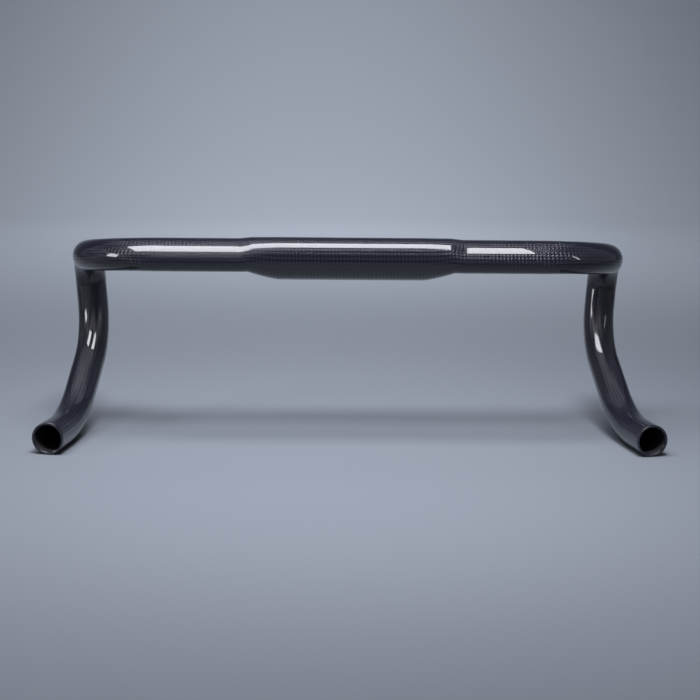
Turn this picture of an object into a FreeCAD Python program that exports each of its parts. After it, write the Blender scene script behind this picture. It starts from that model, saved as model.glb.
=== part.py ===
import FreeCAD, Part
import math
import os

# Drop handlebar for a road bicycle: one hollow fibre moulding, open at both drop ends.
# Origin at the centre of the stem clamp seat. +X to the rider's right, +Y forward, +Z up.
# It is held at the seat, with the drop ends level.

V = FreeCAD.Vector

# Every size is written once, here, in millimetres.
SIZES = [
    ("clamp_dia", 31.8, "stem clamp seat, outside"),
    ("clamp_len", 108.0, "round seat between the two shoulders"),
    ("clamp_wall", 2.8, "wall under the stem clamp"),
    ("belly_run", 23.0, "length of the swell under each shoulder"),
    ("ridge_len", 5.0, "full-height part of the shoulder"),
    ("ridge_run", 6.0, "ramp from the shoulder down to the top tube"),
    ("ridge_rise", 1.0, "shoulder above the top tube"),
    ("tops_long", 30.3, "top tube's oval, the long way"),
    ("tops_short", 19.7, "top tube's oval, the short way"),
    ("tops_lean", 35.0, "degrees by which the oval's face turns back to the rider"),
    ("tops_shift", 3.0, "oval's centre above the seat's, the short way"),
    ("grip_dia", 23.8, "hook and lower run, lever clamp size"),
    ("wall", 2.0, "wall of the tube"),
    ("corner_half", 196.0, "half width where the top tube's line meets the ramp's"),
    ("ramp_fwd", 85.93, "ramp, forward"),
    ("ramp_out", 9.0, "ramp, outward"),
    ("ramp_fall", 13.854, "ramp, downward"),
    ("front_back", 15.5, "front of the hook, backward"),
    ("front_in", 6.5, "front of the hook, inward"),
    ("front_fall", 60.9, "front of the hook, downward"),
    ("heel_back", 74.0, "heel of the hook, backward"),
    ("heel_out", 10.5, "heel of the hook, outward"),
    ("heel_fall", 52.3, "heel of the hook, downward"),
    ("run_back", 53.2, "lower run, backward"),
    ("run_out", 11.0, "lower run, outward"),
    ("corner_bend", 58.0, "bend from top tube to ramp"),
    ("hood_bend", 23.0, "bend from ramp to the front of the hook"),
    ("hook_bend", 70.0, "bend from front to heel"),
    ("heel_bend", 100.0, "bend from heel to lower run"),
    ("rim_break", 0.5, "chamfer on the mouth's edges"),
]

doc = FreeCAD.newDocument("handlebar")
sheet = doc.addObject("Spreadsheet::Sheet", "sizes")
for row, (alias, value, note) in enumerate(SIZES, 1):
    sheet.set(f"A{row}", alias)
    sheet.set(f"B{row}", str(value))
    sheet.set(f"C{row}", note)
    sheet.setAlias(f"B{row}", alias)
doc.recompute()


def size(alias):
    return float(getattr(sheet, alias))


def drive(obj, **formulas):
    for name, formula in formulas.items():
        obj.setExpression(name.replace("__", "."), formula)
    return obj


# Formulas that several features share.
SEAT_R = "sizes.clamp_dia / 2"
TOPS_A = "sizes.tops_long / 2"
TOPS_B = "sizes.tops_short / 2"
GRIP_R = "sizes.grip_dia / 2"
SEAT_END = "sizes.clamp_len / 2"
BELLY_END = f"({SEAT_END} + sizes.belly_run)"
RIDGE_END = f"({BELLY_END} + sizes.ridge_len)"
SHOULDER_END = f"({RIDGE_END} + sizes.ridge_run)"
RIDGE_B = f"({TOPS_B} + sizes.ridge_rise / 2)"
RIDGE_SHIFT = "(sizes.tops_shift + sizes.ridge_rise / 2)"


# Centre line of the right half: straight legs joined by tangent arcs.
def rounded(start, legs, bends):
    edges = []
    here = start
    corner = start
    for leg, following, bend in zip(legs, legs[1:], bends):
        corner = corner + leg
        turn = leg.getAngle(following)
        back = V(leg).normalize() * -1
        ahead = V(following).normalize()
        setback = bend * math.tan(turn / 2)
        bulge = bend * (1 / math.cos(turn / 2) - 1)
        begin = corner + back * setback
        middle = corner + (ahead + back).normalize() * bulge
        end = corner + ahead * setback
        edges.append(Part.makeLine(here, begin))
        edges.append(Part.Arc(begin, middle, end).toShape())
        here = end
    edges.append(Part.makeLine(here, corner + legs[-1]))
    return edges


# The oval's long way points back and down, its short way back and up.
lean = math.radians(size("tops_lean"))
long_way = V(0, -math.cos(lean), -math.sin(lean))
short_way = V(0, -math.sin(lean), math.cos(lean))
OVAL = FreeCAD.Rotation(long_way, short_way * -1, V(1, 0, 0), "ZXY")

shoulder_end = size("clamp_len") / 2 + size("belly_run") + size("ridge_len") + size("ridge_run")
course = rounded(
    V(shoulder_end, 0, 0) + short_way * size("tops_shift"),
    [
        V(size("corner_half") - shoulder_end, 0, 0),
        V(size("ramp_out"), size("ramp_fwd"), -size("ramp_fall")),
        V(-size("front_in"), -size("front_back"), -size("front_fall")),
        V(size("heel_out"), -size("heel_back"), -size("heel_fall")),
        V(size("run_out"), -size("run_back"), 0),
    ],
    [size("corner_bend"), size("hood_bend"), size("hook_bend"), size("heel_bend")],
)
tops_leg, corner_arc, run_leg = course[0], course[1], course[-1]
mouth = run_leg.valueAt(run_leg.LastParameter)
hook_path = doc.addObject("Part::Feature", "hook_path")
hook_path.Shape = Part.Wire(course[2:-1])
corner_path = doc.addObject("Part::Feature", "corner_path")
corner_path.Shape = Part.Wire([corner_arc])


def along(edge, at_end=False):
    spot = edge.LastParameter if at_end else edge.FirstParameter
    turn = FreeCAD.Rotation(V(1, 0, 0), edge.tangentAt(spot))
    return FreeCAD.Placement(edge.valueAt(spot), turn * OVAL)


# The skin and the bore are built alike, one wall thickness apart.
def half_tube(name, seat_wall, wall):
    def add(kind, label, place=None):
        obj = doc.addObject(kind, f"{name}_{label}")
        if place:
            obj.Placement = place
        return obj

    def oval(label, x, shift, long_r, short_r):
        ring = add("Part::Ellipse", label, FreeCAD.Placement(V(), OVAL))
        drive(ring, Placement__Base__x=x)
        drive(ring, Placement__Base__y=f"-{shift} * sin(sizes.tops_lean)")
        drive(ring, Placement__Base__z=f"{shift} * cos(sizes.tops_lean)")
        return drive(ring, MajorRadius=long_r, MinorRadius=short_r)

    def circle(label, place, radius):
        return drive(add("Part::Circle", label, place), Radius=radius)

    def extrude(label, ring):
        obj = add("Part::Extrusion", label)
        obj.Base = ring
        obj.DirMode = "Normal"
        obj.Solid = True
        return obj

    def loft(label, rings):
        obj = add("Part::Loft", label)
        obj.Sections = rings
        obj.Solid = True
        return obj

    def sweep(label, path, rings):
        obj = add("Part::Sweep", label)
        obj.Spine = (path, [f"Edge{i}" for i in range(1, len(path.Shape.Edges) + 1)])
        obj.Sections = rings
        obj.Solid = True
        return obj

    # Round seat for the stem clamp.
    seat = add("Part::Cylinder", "seat", FreeCAD.Placement(V(), OVAL))
    drive(seat, Radius=f"{SEAT_R} - {seat_wall}", Height=SEAT_END)

    # Belly: the round seat runs into the shoulder's oval, mostly from below and faster towards the shoulder.
    seat_r = f"({SEAT_R} - {seat_wall})"
    edge = circle("seat_edge", FreeCAD.Placement(V(), OVAL), seat_r)
    rings = [drive(edge, Placement__Base__x=SEAT_END)]
    for i in range(1, 5):
        part = i / 4
        ease = part * (0.55 + 0.45 * part)
        rings.append(oval(
            f"belly_ring{i}",
            f"{SEAT_END} + sizes.belly_run * {part}",
            f"{RIDGE_SHIFT} * {ease}",
            f"{seat_r} + ({TOPS_A} - {wall} - {seat_r}) * {ease}",
            f"{seat_r} + ({RIDGE_B} - {wall} - {seat_r}) * {ease}",
        ))
    belly = loft("belly", rings)

    # Shoulder, then its short ramp down to the top tube.
    ridge = drive(extrude("ridge", rings[-1]), LengthFwd="sizes.ridge_len")
    crest = oval("crest_ring", RIDGE_END, RIDGE_SHIFT, f"{TOPS_A} - {wall}", f"{RIDGE_B} - {wall}")
    foot = oval("foot_ring", SHOULDER_END, "sizes.tops_shift", f"{TOPS_A} - {wall}", f"{TOPS_B} - {wall}")
    ramp = loft("ramp", [crest, foot])

    # Top tube: an oval whose broad face is turned to the rider's palm.
    tops = extrude("tops", foot)
    tops.LengthFwd = tops_leg.Length

    # Corner bend, where the oval narrows to the round hook as it turns.
    wide = add("Part::Ellipse", "corner_ring", along(corner_arc))
    drive(wide, MajorRadius=f"{TOPS_A} - {wall}", MinorRadius=f"{TOPS_B} - {wall}")
    slim = circle("hook_ring", along(corner_arc, True), f"{GRIP_R} - {wall}")
    corner = sweep("corner", corner_path, [wide, slim])

    # Hook, then the straight lower run.
    hook = sweep("hook", hook_path, [slim])
    run = add("Part::Cylinder", "run", along(run_leg))
    drive(run, Radius=f"{GRIP_R} - {wall}")
    run.Height = run_leg.Length

    half = add("Part::MultiFuse", "half")
    half.Shapes = [seat, belly, ridge, ramp, tops, corner, hook, run]
    half.Refine = True
    return half


skin = half_tube("skin", "0", "0")
bore = half_tube("bore", "sizes.clamp_wall", "sizes.wall")
shell = doc.addObject("Part::Cut", "shell")
shell.Base = skin
shell.Tool = bore
doc.recompute()

# Both edges of the sawn mouth are broken.
mouth_edges = []
for number, edge in enumerate(shell.Shape.Edges, 1):
    if (edge.CenterOfMass - mouth).Length < 0.01 and edge.isClosed():
        mouth_edges.append(number)
rim = doc.addObject("Part::Chamfer", "rim")
rim.Base = shell
rim.Edges = [(number, size("rim_break"), size("rim_break")) for number in mouth_edges]

# The left half mirrors the right.
left = doc.addObject("Part::Mirroring", "left_half")
left.Source = rim
left.Normal = V(1, 0, 0)
bar = doc.addObject("Part::MultiFuse", "bar")
bar.Shapes = [rim, left]
bar.Refine = True
bar.Label = "handlebar"
doc.recompute()

# Nothing is written unless every feature is sound and the bar is one solid.
for obj in doc.Objects:
    if "Invalid" in obj.State or "Error" in obj.State:
        raise RuntimeError(f"{obj.Name}: {obj.State}")
    if hasattr(obj, "Shape") and (obj.Shape.isNull() or not obj.Shape.isValid()):
        raise RuntimeError(f"{obj.Name}: shape not valid")
if len(mouth_edges) != 2 or len(bar.Shape.Solids) != 1:
    raise RuntimeError("the bar is not one open tube")

os.makedirs("parts", exist_ok=True)
bar.Shape.Solids[0].exportStep("parts/handlebar.step")
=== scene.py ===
import math
import bpy
from mathutils import Matrix, Quaternion, Vector


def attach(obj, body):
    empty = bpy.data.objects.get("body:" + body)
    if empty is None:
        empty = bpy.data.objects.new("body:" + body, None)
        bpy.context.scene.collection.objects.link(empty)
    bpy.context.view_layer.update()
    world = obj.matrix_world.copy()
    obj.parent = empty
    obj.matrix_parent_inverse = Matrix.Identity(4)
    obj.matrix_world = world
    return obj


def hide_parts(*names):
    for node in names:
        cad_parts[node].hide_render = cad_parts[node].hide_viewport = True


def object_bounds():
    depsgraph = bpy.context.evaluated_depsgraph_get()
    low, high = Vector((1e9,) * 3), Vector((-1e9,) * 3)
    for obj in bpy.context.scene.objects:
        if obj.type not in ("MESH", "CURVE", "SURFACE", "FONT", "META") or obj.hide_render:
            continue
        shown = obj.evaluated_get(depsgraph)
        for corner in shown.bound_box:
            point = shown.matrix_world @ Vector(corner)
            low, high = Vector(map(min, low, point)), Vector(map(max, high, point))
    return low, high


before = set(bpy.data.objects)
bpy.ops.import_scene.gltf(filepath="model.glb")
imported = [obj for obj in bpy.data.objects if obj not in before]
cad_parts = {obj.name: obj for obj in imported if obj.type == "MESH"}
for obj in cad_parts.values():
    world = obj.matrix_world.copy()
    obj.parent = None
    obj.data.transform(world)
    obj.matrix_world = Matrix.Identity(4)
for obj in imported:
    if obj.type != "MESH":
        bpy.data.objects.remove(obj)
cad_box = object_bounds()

scene = bpy.context.scene

# Handlebar: a hollow tube of woven carbon cloth in epoxy, cured in one piece in a closed mould.
# The middle is round for the stem, the tops are oval, and the hooks are round again.
# The two drop ends are sawn square, and the lacquer runs round their lips.
MM = 0.001
SEAT_RADIUS = 15.9
SEAT_END = 54.0
RAMP_START = 74.5
BELLY_END = 77.0
SHOULDER_END = 83.5
RIDGE_LONG = 14.8
RIDGE_SHORT = 11.2
RIDGE_SHIFT = 3.75
TOPS_LONG = 15.15
TOPS_SHORT = 9.85
TOPS_SHIFT = 3.0
TOPS_LEAN = math.radians(35)
GRIP_RADIUS = 11.9
SEAT_WALL = 2.8
WALL = 2.0
RIM_BREAK = 0.6
LIP_ROUND = 1.2

LONG_WAY = Vector((0, -math.cos(TOPS_LEAN), -math.sin(TOPS_LEAN)))
SHORT_WAY = Vector((0, -math.sin(TOPS_LEAN), math.cos(TOPS_LEAN)))

# Straight legs of the right half after the shoulder, and the bends between them.
CORNER_HALF = 196.0
LEGS = [
    Vector((CORNER_HALF - SHOULDER_END, 0, 0)),
    Vector((9.0, 85.93, -13.854)),
    Vector((-6.5, -15.5, -60.9)),
    Vector((10.5, -74.0, -52.3)),
    Vector((11.0, -53.2, 0)),
]
BENDS = [58.0, 23.0, 70.0, 100.0]

# A section is its centre's shift up the short way, then its long and short radius, then the wall.
SEAT = Vector((0, SEAT_RADIUS, SEAT_RADIUS, SEAT_WALL))
RIDGE = Vector((RIDGE_SHIFT, RIDGE_LONG, RIDGE_SHORT, WALL))
TOPS = Vector((TOPS_SHIFT, TOPS_LONG, TOPS_SHORT, WALL))
GRIP = Vector((TOPS_SHIFT, GRIP_RADIUS, GRIP_RADIUS, WALL))

# How steeply the belly leaves the seat, as a share of an even rise. The ramp down to the tops
# begins before the belly ends, which rounds the crest between them.
BELLY_START = 0.55

# Fineness of the mesh. The bore is hardly seen, so it has fewer rings than the skin.
MIDDLE_STEP = 1.0
LEG_STEP = 4.0
BEND_STEP = math.radians(1.5)
LIP_STEPS = 5
BORE_STRIDE = 3
ROUND = 64


def share(x, start, end):
    """How far x has come from start to end, between 0 and 1."""
    return min(max((x - start) / (end - start), 0), 1)


def stations():
    """Points along the right half's centre line: place, turn from the middle, section, travel."""
    found = []
    for i in range(round(SHOULDER_END / MIDDLE_STEP)):
        x = i * MIDDLE_STEP
        rise = share(x, SEAT_END, BELLY_END)
        belly = SEAT.lerp(RIDGE, rise * (BELLY_START + (1 - BELLY_START) * rise))
        section = belly.lerp(TOPS, share(x, RAMP_START, SHOULDER_END))
        found.append((Vector((x, 0, 0)) + SHORT_WAY * section[0], Quaternion(), section, x))
    here = Vector((SHOULDER_END, 0, 0)) + SHORT_WAY * TOPS_SHIFT
    corner = here.copy()
    turn = Quaternion()
    travel = SHOULDER_END
    section = TOPS
    for leg, following, radius in zip(LEGS, LEGS[1:] + [None], BENDS + [0]):
        corner += leg
        end = corner
        if following is not None:
            swing = leg.rotation_difference(following)
            end = corner - leg.normalized() * radius * math.tan(swing.angle / 2)
        run = (end - here).length
        steps = max(1, round(run / LEG_STEP))
        for i in range(steps):
            part = i / steps
            found.append((here.lerp(end, part), turn, section, travel + run * part))
        travel += run
        here = end
        if following is None:
            break
        centre = end + swing.axis.cross(leg).normalized() * radius
        steps = round(swing.angle / BEND_STEP)
        run = radius * swing.angle
        for i in range(steps):
            part = i / steps
            swung = Quaternion(swing.axis, swing.angle * part)
            spot = centre + swung @ (end - centre)
            found.append((spot, swung @ turn, section.lerp(GRIP, part), travel + run * part))
        travel += run
        here = centre + swing @ (end - centre)
        turn = swing @ turn
        section = GRIP
    found.append((here, turn, section, travel))
    return found


def ring(station, inset=0.0, back=0.0):
    """One ring of points of the tube, set in from the skin and back from the station."""
    place, turn, section, travel = station
    place = place - turn @ Vector((1, 0, 0)) * back
    long_way = turn @ LONG_WAY * (section[1] - inset)
    short_way = turn @ SHORT_WAY * (section[2] - inset)
    angles = [math.tau * j / ROUND for j in range(ROUND)]
    points = [place + long_way * math.cos(a) + short_way * math.sin(a) for a in angles]
    return points, travel - back


def half_tube():
    """Rings of the right half: the skin outwards, round the lacquered lip, then the bore inwards."""
    line = stations()
    mouth = line[-1]
    rings = [ring(station) for station in line[:-1]]
    quarter = [math.radians(90 * i / LIP_STEPS) for i in range(LIP_STEPS + 1)]
    for a in quarter:
        rings.append(ring(mouth, RIM_BREAK * (1 - math.cos(a)), RIM_BREAK * (1 - math.sin(a))))
    for a in reversed(quarter):
        rings.append(ring(mouth, WALL - LIP_ROUND * (1 - math.cos(a)), LIP_ROUND * (1 - math.sin(a))))
    skin = len(rings)
    for station in reversed(line[:-1:BORE_STRIDE]):
        rings.append(ring(station, station[2][3]))
    return rings, skin


def mirrored(rings):
    """The left half's rings."""
    return [([Vector((-p.x, p.y, p.z)) for p in points], -travel) for points, travel in rings]


right, skin_rings = half_tube()
left = mirrored(right)
skin = list(reversed(left[1:skin_rings])) + right[:skin_rings]
bore = right[skin_rings:] + list(reversed(left[skin_rings:-1]))
loop = skin + bore

# A cell of the cloth lies on its point, and its diagonal is measured along the bar.
# A whole number of cells goes round, so the weave closes on itself.
CLOTH_CELL = 2.7
CELLS_ROUND = 30
SKIN_FINISH, BORE_FINISH = 0, 1

vertices = [p * MM for points, travel in loop for p in points]
faces = []
finishes = []
weave_uv = []
for i in range(len(loop)):
    following = (i + 1) % len(loop)
    girth = [0.0]
    points = loop[i][0]
    for j in range(ROUND):
        girth.append(girth[-1] + (points[(j + 1) % ROUND] - points[j]).length)
    for j in range(ROUND):
        k = (j + 1) % ROUND
        faces.append((i * ROUND + j, following * ROUND + j, following * ROUND + k, i * ROUND + k))
        finishes.append(SKIN_FINISH if i < len(skin) - 1 else BORE_FINISH)
        low, high = (CELLS_ROUND * girth[n] / girth[-1] for n in (j, j + 1))
        near, far = (loop[n][1] / CLOTH_CELL for n in (i, following))
        weave_uv += [near, low, far, low, far, high, near, high]

mesh = bpy.data.meshes.new("woven_bar")
mesh.from_pydata(vertices, [], faces)
mesh.uv_layers.new(name="weave").data.foreach_set("uv", weave_uv)
mesh.polygons.foreach_set("material_index", finishes)
mesh.shade_smooth()
bar = bpy.data.objects.new("woven_bar", mesh)
scene.collection.objects.link(bar)


class Value:
    """A socket of a finish. Sums on it add Math nodes."""

    def __init__(self, finish, socket):
        self.finish = finish
        self.socket = socket

    def output(self, name):
        return Value(self.finish, self.socket.node.outputs[name])

    def math(self, operation, *terms):
        terms = dict(enumerate(terms))
        return self.finish.node("ShaderNodeMath", {"operation": operation}, terms)

    def __add__(self, other):
        return self.math("ADD", self, other)

    def __radd__(self, other):
        return self.math("ADD", other, self)

    def __sub__(self, other):
        return self.math("SUBTRACT", self, other)

    def __rsub__(self, other):
        return self.math("SUBTRACT", other, self)

    def __mul__(self, other):
        return self.math("MULTIPLY", self, other)

    def __rmul__(self, other):
        return self.math("MULTIPLY", other, self)

    def whole(self):
        return self.math("FLOOR", self)

    def part(self):
        return self.math("FRACT", self)


class Finish:
    """A material whose nodes all come from one method."""

    def __init__(self, name):
        self.material = bpy.data.materials.new(name)
        self.material.use_nodes = True
        self.tree = self.material.node_tree
        self.shader = self.tree.nodes["Principled BSDF"]

    def set(self, node, sockets):
        for name, value in sockets.items():
            if isinstance(value, Value):
                self.tree.links.new(value.socket, node.inputs[name])
            else:
                node.inputs[name].default_value = value

    def node(self, kind, settings, sockets):
        node = self.tree.nodes.new(kind)
        for name, value in settings.items():
            setattr(node, name, value)
        self.set(node, sockets)
        return Value(self, node.outputs[0])

    def mix(self, factor, first, second):
        """Two colours mixed. The Mix node has its colours at inputs 6 and 7 and at output 2."""
        settings = {"data_type": "RGBA"}
        mixed = self.node("ShaderNodeMix", settings, {0: factor, 6: first, 7: second})
        return Value(self, mixed.socket.node.outputs[2])


# Slopes of a tow across its width and along the stretch where it shows.
TOW_CROWN = 0.5
TOW_DIP = 0.12
DIAGONAL = math.sqrt(0.5)
# A Normal Map node reads this as no slope.
LEVEL = 0.5


def woven_carbon():
    """Plain weave at 45 degrees to the bar, under clear lacquer. p and q count its two sets of tows."""
    cloth = Finish("woven_carbon")
    weave = cloth.node("ShaderNodeUVMap", {"uv_map": "weave"}, {})
    place = cloth.node("ShaderNodeSeparateXYZ", {}, {0: weave})
    along, around = place.output("X"), place.output("Y")
    p = along + around
    q = along - around
    across_p = p.part() * 2 - 1
    across_q = q.part() * 2 - 1
    # 1 in every second cell, like the dark squares of a chessboard.
    q_on_top = ((p.whole() + q.whole()) * 0.5).part() * 2
    slope_p = across_p * (TOW_CROWN - (TOW_CROWN - TOW_DIP) * q_on_top)
    slope_q = across_q * (TOW_DIP + (TOW_CROWN - TOW_DIP) * q_on_top)
    slope = cloth.node("ShaderNodeCombineXYZ", {}, {
        0: (slope_p + slope_q) * (LEVEL * DIAGONAL) + LEVEL,
        1: (slope_p - slope_q) * (LEVEL * DIAGONAL) + LEVEL,
        2: 1.0,
    })
    normal = cloth.node("ShaderNodeNormalMap", {"uv_map": "weave"}, {"Color": slope})
    # The lighter base colour on the cells where the q tows lie on top is painted sheen: both sets of
    # tows are the same fibre and differ only in how they catch the light.
    cloth.set(cloth.shader, {
        "Base Color": cloth.mix(q_on_top, (0.002, 0.002, 0.006, 1), (0.010, 0.010, 0.017, 1)),
        "Roughness": 0.10,
        "Specular IOR Level": 0.28,
        "Normal": normal,
        "Coat Weight": 1.0,
        "Coat Roughness": 0.02,
    })
    return cloth.material


def cured_resin():
    """The bare inside of the tube."""
    resin = Finish("cured_resin")
    resin.set(resin.shader, {
        "Base Color": (0.028, 0.028, 0.032, 1),
        "Roughness": 0.18,
    })
    return resin.material


mesh.materials.append(woven_carbon())
mesh.materials.append(cured_resin())
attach(bar, "root")
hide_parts("handlebar")

# Studio sweep: one sheet of matt blue-grey paper, flat under the bar and curved up behind it.
# Its flat part lies at the height of the lower runs' undersides.
FLOOR_Z = cad_box[0][2]
SWEEP_WIDTH = 6.0
SWEEP_FRONT = -2.5
SWEEP_START = 1.4
SWEEP_RADIUS = 0.8
SWEEP_TOP = 3.0
SWEEP_STEPS = 24


def paper_sweep():
    profile = [(SWEEP_FRONT, 0.0)]
    for i in range(SWEEP_STEPS + 1):
        a = math.radians(90 * i / SWEEP_STEPS)
        profile.append((SWEEP_START + SWEEP_RADIUS * math.sin(a), SWEEP_RADIUS * (1 - math.cos(a))))
    profile.append((SWEEP_START + SWEEP_RADIUS, SWEEP_TOP))
    points = [(side * SWEEP_WIDTH / 2, y, FLOOR_Z + z) for y, z in profile for side in (-1, 1)]
    quads = [(2 * i, 2 * i + 1, 2 * i + 3, 2 * i + 2) for i in range(len(profile) - 1)]
    sheet = bpy.data.meshes.new("paper_sweep")
    sheet.from_pydata(points, [], quads)
    sheet.shade_smooth()
    paper = Finish("matt_paper")
    paper.set(paper.shader, {"Base Color": (0.108, 0.120, 0.142, 1), "Roughness": 0.9})
    sheet.materials.append(paper.material)
    sweep = bpy.data.objects.new("paper_sweep", sheet)
    scene.collection.objects.link(sweep)
    return sweep


paper_sweep()

# Studio light: one soft box overhead, a little to the left, gives the long highlight on the tops.
# Boxes at both sides give the glints in the hooks, and three soft lamps light the paper.
BOX_COLOUR = (0.93, 0.935, 1.0)
ROOM_COLOUR = (0.80, 0.88, 1.0, 1)
ROOM_STRENGTH = 0.16


def hang(light, place, aim):
    """Put a light in its place and aim it."""
    lamp = bpy.data.objects.new(light.name, light)
    lamp.location = place
    lamp.rotation_euler = (Vector(aim) - Vector(place)).to_track_quat("-Z", "Y").to_euler()
    scene.collection.objects.link(lamp)
    return lamp


def soft_box(name, place, aim, width, depth, watts, turn=0.0):
    """A lit panel that the lacquer mirrors. Its turn is in degrees about its own axis."""
    light = bpy.data.lights.new(name, "AREA")
    light.shape = "RECTANGLE"
    light.size = width
    light.size_y = depth
    light.energy = watts
    light.color = BOX_COLOUR
    hang(light, place, aim).rotation_euler.rotate_axis("Z", math.radians(turn))


def fill_lamp(name, place, aim, degrees, radius, watts):
    """A soft-edged lamp that lights the paper without being mirrored in the lacquer."""
    light = bpy.data.lights.new(name, "SPOT")
    light.spot_size = math.radians(degrees)
    light.spot_blend = 1.0
    light.shadow_soft_size = radius
    light.energy = watts
    hang(light, place, aim).visible_glossy = False


soft_box(
    "overhead_box", (-0.1875, -0.15, 1.0), (-0.1875, -0.15, 0.0),
    width=0.925, depth=0.495, watts=20.0, turn=3.0,
)
soft_box("left_box", (-1.295, -0.45, 0.53), (0, 0, -0.05), width=0.34, depth=0.34, watts=4.5)
soft_box("right_box", (0.93, -0.49, 0.6), (0, 0, -0.08), width=0.06, depth=0.36, watts=0.6)
fill_lamp("front_lamp", (0.03, -0.58, 1.1), (0.0, -0.06, FLOOR_Z), degrees=42, radius=0.2, watts=120.0)
fill_lamp("backdrop_lamp", (0.0, 0.9, 0.85), (0.0, 1.5, -0.1), degrees=160, radius=0.3, watts=122.0)
fill_lamp("glow_lamp", (0.0, 1.1, 0.62), (0.0, 1.75, -0.05), degrees=124, radius=0.2, watts=38.0)

world = bpy.data.worlds.new("studio")
scene.world = world
world.use_nodes = True
room = world.node_tree.nodes["Background"]
room.inputs["Color"].default_value = ROOM_COLOUR
room.inputs["Strength"].default_value = ROOM_STRENGTH
scene.view_settings.view_transform = "Standard"

# Camera: at the rider's side, a little above the bar, with the long lens of a product photograph.
# Its distance, turns, focal length and shift were fitted to the outline in the photo.
PHOTO_SIZE = 700
SENSOR = 36.0
DISTANCE = 1.2795
PITCH = math.radians(10.8755)
YAW = math.radians(-1.9934)
ROLL = math.radians(0.715)
FOCAL_PIXELS = 1697.7
SHIFT_PIXELS = (-0.2, -3.7)
AIM = Vector((0, 0, -0.0665))

lens = bpy.data.cameras.new("camera")
lens.sensor_width = SENSOR
lens.lens = FOCAL_PIXELS * SENSOR / PHOTO_SIZE
lens.shift_x = SHIFT_PIXELS[0] / PHOTO_SIZE
lens.shift_y = SHIFT_PIXELS[1] / PHOTO_SIZE
camera = bpy.data.objects.new("camera", lens)
back = Matrix.Rotation(YAW, 3, "Z") @ Vector((0, -math.cos(PITCH), math.sin(PITCH)))
camera.location = AIM + back * DISTANCE
camera.rotation_mode = "QUATERNION"
camera.rotation_quaternion = back.to_track_quat("Z", "Y") @ Quaternion((0, 0, 1), ROLL)
scene.collection.objects.link(camera)
scene.camera = camera
